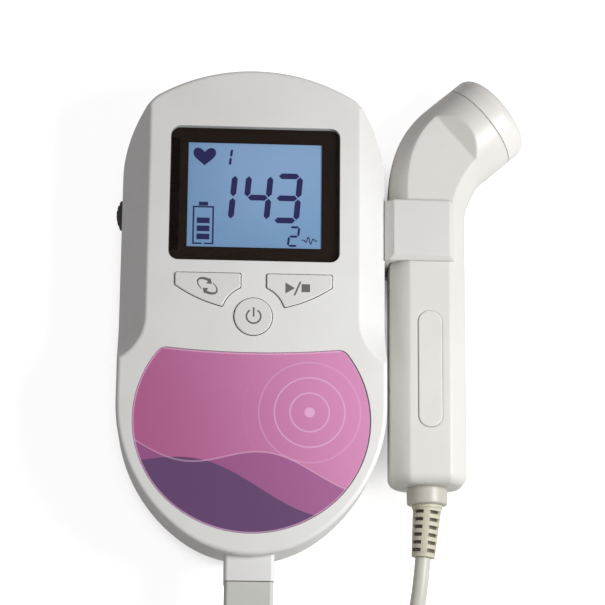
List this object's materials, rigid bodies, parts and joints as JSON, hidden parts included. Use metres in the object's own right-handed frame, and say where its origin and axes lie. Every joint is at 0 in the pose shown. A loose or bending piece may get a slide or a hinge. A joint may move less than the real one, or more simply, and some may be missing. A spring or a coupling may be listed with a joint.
{
  "type": "fetal doppler monitor",
  "caption": "Hand-held fetal doppler: battery monitor with display, keys, loudness wheel and side clip that holds a bent ultrasound probe on a cord.",
  "frame": {"origin": "centre of the monitor's flat rear face", "axes": "+Z out of the display, +Y towards the display's top edge, +X towards the probe clip"},
  "size_m": [0.1147, 0.2382, 0.0335],
  "materials": {
    "casing": "satin warm white",
    "window": "clear window",
    "mask": "black print",
    "lcd": "light blue display",
    "diffuser": "white",
    "board": "green board",
    "chip": "black",
    "key": "satin warm white",
    "switch": "black",
    "label": "printed film",
    "wheel": "black",
    "control": "black",
    "steel": "plated",
    "cell": "dark sleeve",
    "speaker_steel": "pressed sheet",
    "speaker_cone": "black film",
    "speaker_gasket": "black foam",
    "magnet": "ferrite",
    "probe_casing": "satin warm white",
    "cap": "satin warm white",
    "crystal": "plated ceramic",
    "backing": "filled resin",
    "collar": "warm grey",
    "relief": "warm grey",
    "plug": "grey",
    "cord": "warm white"
  },
  "bodies": {
    "monitor": {"front_shell": "casing", "rear_shell": "casing", "probe_clip": "casing", "display_window": "window", "display_mask": "mask", "lcd_panel": "lcd", "backlight": "diffuser", "lcd_holder": "diffuser", "main_board": "board", "processor_chip": "chip", "mode_switch": "switch", "start_stop_switch": "switch", "power_switch": "switch", "label": "label", "volume_pot": "control", "earphone_jack": "control", "probe_socket": "control", "casing_screws": "steel", "board_screws": "steel", "clip_screws": "steel", "plate_contacts": "steel", "spring_contacts": "steel", "upper_cell": "cell", "lower_cell": "cell", "speaker_basket": "speaker_steel", "speaker_cone": "speaker_cone", "speaker_gasket": "speaker_gasket", "speaker_magnet": "magnet", "plug_relief": "relief", "probe_plug": "plug", "cord_probe_run": "cord", "cord_plug_run": "cord", "cord_coil": "cord"},
    "mode_button": {"mode_key": "key"},
    "start_stop_button": {"start_stop_key": "key"},
    "power_button": {"power_key": "key"},
    "loudness_wheel": {"volume_wheel": "wheel"},
    "battery_door": {"battery_cover": "casing"},
    "probe": {"probe_front_shell": "probe_casing", "probe_rear_shell": "probe_casing", "probe_screws": "steel", "probe_board": "board", "probe_badge": "probe_casing", "probe_cap": "cap", "transmit_crystal": "crystal", "receive_crystal": "crystal", "crystal_backing": "backing", "probe_collar": "collar", "probe_relief": "relief"}
  },
  "joints": [
    {"name": "mode_key_press", "type": "slide", "parent": "monitor", "child": "mode_button", "axis": [0, 0, -1], "range_m": [0, 0.0005], "stiffness_N_per_m": 400, "springref_m": -0.002},
    {"name": "start_stop_key_press", "type": "slide", "parent": "monitor", "child": "start_stop_button", "axis": [0, 0, -1], "range_m": [0, 0.0005], "stiffness_N_per_m": 400, "springref_m": -0.002},
    {"name": "power_key_press", "type": "slide", "parent": "monitor", "child": "power_button", "axis": [0, 0, -1], "range_m": [0, 0.0005], "stiffness_N_per_m": 400, "springref_m": -0.002},
    {"name": "loudness_wheel_turn", "type": "hinge", "parent": "monitor", "child": "loudness_wheel", "pos_m": [-0.03095, 0.029, 0.0171], "axis": [0, 0, 1], "range_deg": [-140, 140]},
    {"name": "battery_door_open", "type": "hinge", "parent": "monitor", "child": "battery_door", "pos_m": [0, -0.00695, 0], "axis": [1, 0, 0], "range_deg": [0, 50]},
    {"name": "probe_pull_out", "type": "slide", "parent": "monitor", "child": "probe", "axis": [1, 0, 0], "range_m": [0, 0.022]}
  ]
}
